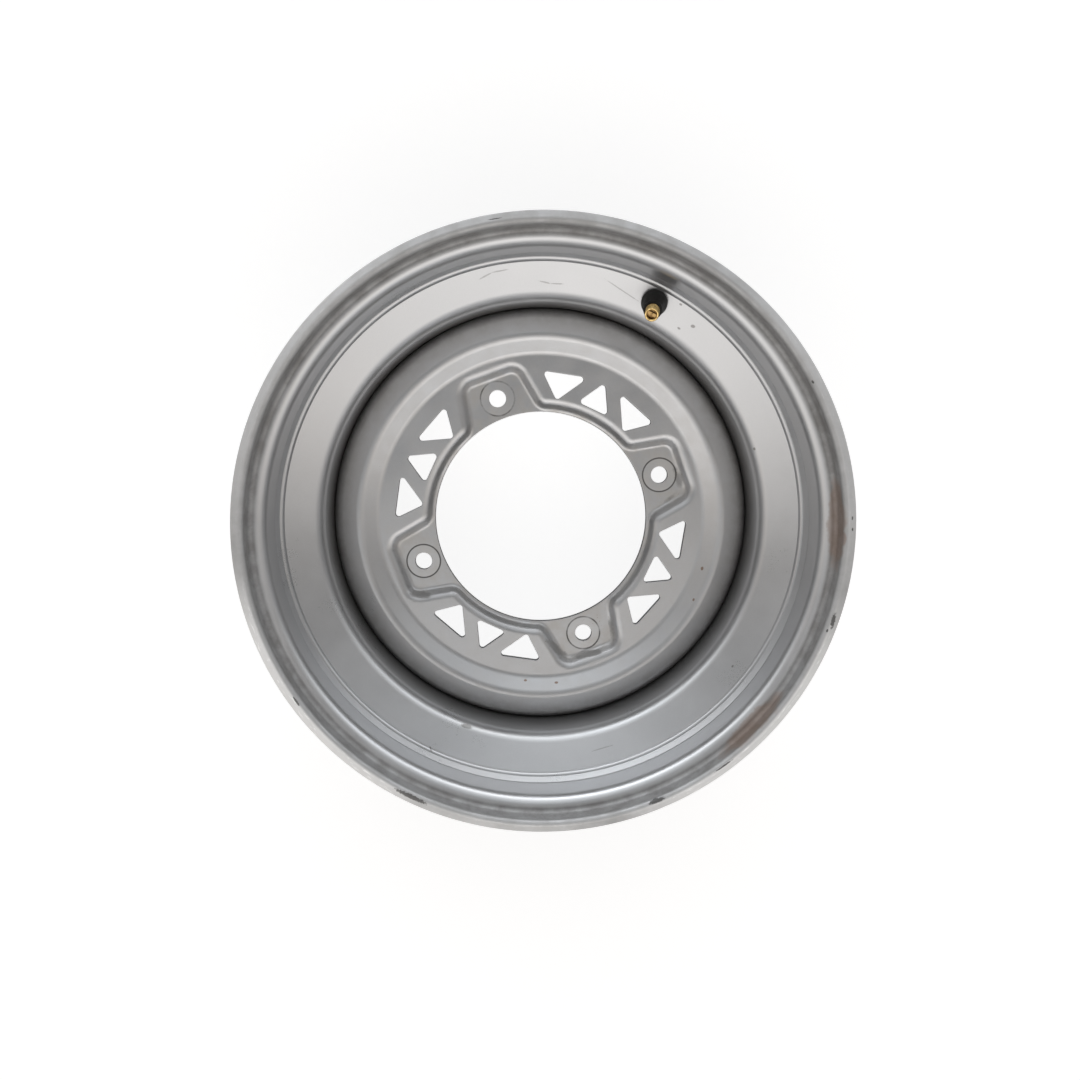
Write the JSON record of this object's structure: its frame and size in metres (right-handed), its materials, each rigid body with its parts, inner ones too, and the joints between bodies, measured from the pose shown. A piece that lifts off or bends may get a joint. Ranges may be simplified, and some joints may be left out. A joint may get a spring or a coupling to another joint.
{
  "type": "steel wheel rim",
  "caption": "Pressed steel wheel rim with a dished disc, recessed lug pads, triangular windows and a snap-in rubber valve.",
  "frame": {"origin": "centre of the lug circle, on the hub mounting face (the inboard face of the lug pads)", "axes": "+Z along the wheel's axis towards the outboard side, where the valve is; +Y is up in the picture; the first lug hole lies 20 degrees round from +X"},
  "size_m": [0.3303, 0.3302, 0.2038],
  "materials": {
    "silver_paint": "satin silver-grey metallic paint, scuffed at the lip and stained with rust in the flange",
    "valve_rubber": "matt black rubber",
    "valve_brass": "tarnished brass",
    "core_gasket": "plain",
    "core_seal": "matt",
    "spring_steel": "bare wire"
  },
  "bodies": {
    "rim": {"rim_barrel": "silver_paint", "wheel_disc": "silver_paint", "disc_weld": "silver_paint", "valve_rubber": "valve_rubber", "valve_stem": "valve_brass", "valve_core_body": "valve_brass", "valve_core_gasket": "core_gasket", "valve_core_spring": "spring_steel"},
    "core_pin": {"valve_core_pin": "valve_brass", "valve_core_seal": "core_seal"}
  },
  "joints": [
    {"name": "core_pin_press", "type": "slide", "parent": "rim", "child": "core_pin", "axis": [0.2073, 0.4212, -0.8829], "range_m": [0, 0.0012], "stiffness_N_per_m": 1000, "deforming": ["valve_core_spring"]}
  ]
}
